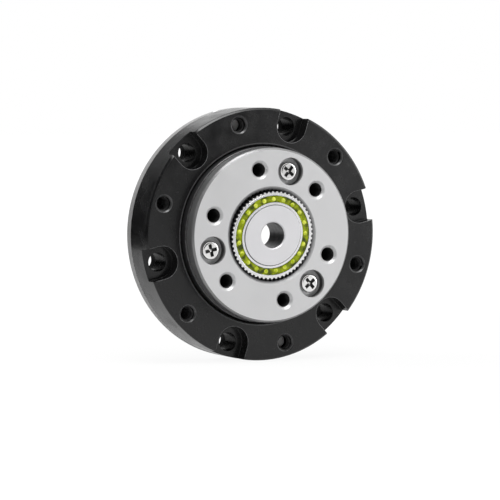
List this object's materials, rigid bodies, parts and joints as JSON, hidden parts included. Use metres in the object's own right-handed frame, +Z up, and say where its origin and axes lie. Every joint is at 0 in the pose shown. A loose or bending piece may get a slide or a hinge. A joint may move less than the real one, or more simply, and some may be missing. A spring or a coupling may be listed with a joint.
{
  "type": "strain wave gear unit",
  "caption": "Flat strain wave gear unit with crossed roller output bearing, toothed spline flange and oval ball bearing wave generator.",
  "frame": {"origin": "centre of the housing bolt circle on the rear mounting face, on the gear axis", "axes": "the gear axis lies along Y with the output face towards -Y and the mounting face towards +Y; +Z is up as in the picture and +X is to the right as seen from the output side"},
  "size_m": [0.06, 0.0173, 0.06],
  "materials": {
    "black_steel": "black oxide, semi-gloss",
    "dark_steel": "dark ground bearing steel",
    "grey_steel": "fine satin, light grey",
    "flexspline_steel": "smooth bright alloy steel",
    "bearing_steel": "polished",
    "screw_steel": "bright nickel plating",
    "plug_metal": "fine satin",
    "cage_plastic": "translucent yellow-green",
    "spacer_plastic": "natural nylon",
    "seal_rubber": "black"
  },
  "bodies": {
    "housing": {"housing_ring": "black_steel", "loading_plug": "black_steel", "plug_pin": "screw_steel", "front_seal": "seal_rubber", "rear_seal": "seal_rubber", "flexspline": "flexspline_steel", "brim_screw_1": "screw_steel", "brim_screw_2": "screw_steel"},
    "output": {"circular_spline": "grey_steel", "bearing_inner_ring": "dark_steel", "output_screw_1": "screw_steel", "output_screw_2": "screw_steel", "output_screw_3": "screw_steel"},
    "roller_set": {"cross_rollers": "bearing_steel", "roller_spacers": "spacer_plastic"},
    "wave_generator": {"wave_generator_plug": "plug_metal", "wave_inner_race": "bearing_steel", "wave_outer_race": "bearing_steel", "wave_balls": "bearing_steel", "wave_cage": "cage_plastic"}
  },
  "joints": [
    {"name": "wave_generator_spin", "type": "hinge", "parent": "housing", "child": "wave_generator", "pos_m": [0, -0.015, 0], "axis": [0, -1, 0], "continuous": true, "deforming": ["flexspline"]},
    {"name": "output_spin", "type": "hinge", "parent": "housing", "child": "output", "pos_m": [0, -0.0067, 0], "axis": [0, -1, 0], "continuous": true},
    {"name": "roller_orbit", "type": "hinge", "parent": "housing", "child": "roller_set", "pos_m": [0, -0.0067, 0], "axis": [0, -1, 0], "continuous": true}
  ],
  "couplings": [
    {"joint": "output_spin", "follows": "wave_generator_spin", "ratio": 0.032258},
    {"joint": "roller_orbit", "follows": "wave_generator_spin", "ratio": 0.016129}
  ]
}
